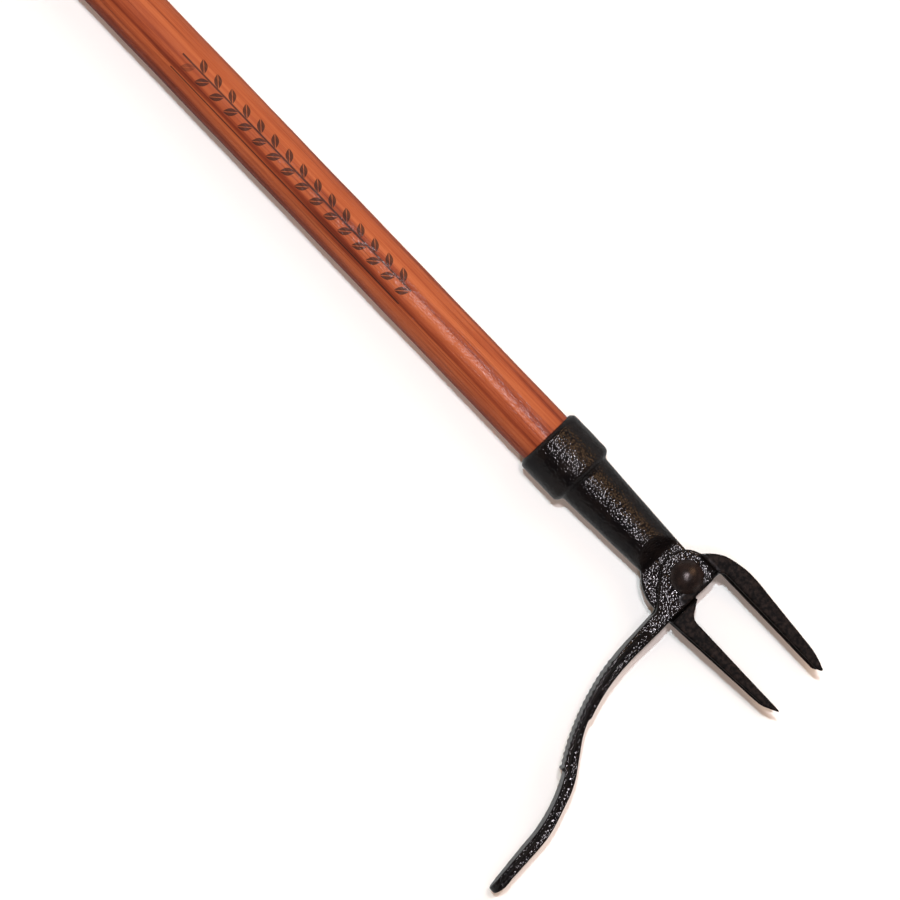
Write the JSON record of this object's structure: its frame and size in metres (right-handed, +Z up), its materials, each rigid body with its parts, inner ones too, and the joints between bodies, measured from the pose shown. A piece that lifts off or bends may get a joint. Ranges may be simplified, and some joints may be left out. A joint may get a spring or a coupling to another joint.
{
  "type": "stand-up weeder",
  "caption": "Long-handled stand-up weed puller: a stained wooden handle in a black cast socket head with fixed claws, and a hinged foot lever whose claws close on the weed's root.",
  "frame": {"origin": "the tool lies on its side on the ground; the origin is on the ground under the middle of the whole tool", "axes": "+Y runs up the handle from the claws to the grip end, the foot lever points to -X, +Z is up and along the pivot bolt, from its nut to its domed head"},
  "size_m": [0.1928, 1.143, 0.0352],
  "materials": {
    "stained_wood": "reddish stain under gloss varnish",
    "black_casting": "gloss black hammered powder coat on cast iron",
    "dark_hardware": "satin brown-black oxide",
    "plated_hardware": "dull zinc plate"
  },
  "bodies": {
    "head": {"handle_shaft": "stained_wood", "socket_head": "black_casting", "handle_screw": "dark_hardware"},
    "lever": {"foot_lever": "black_casting", "pivot_bolt": "dark_hardware", "pivot_washer": "plated_hardware", "pivot_nut": "plated_hardware"}
  },
  "joints": [
    {"name": "claw_pivot", "type": "hinge", "parent": "head", "child": "lever", "pos_m": [0.07353, -0.4949, 0.0176], "axis": [0, 0, -1], "range_deg": [0, 19]}
  ]
}
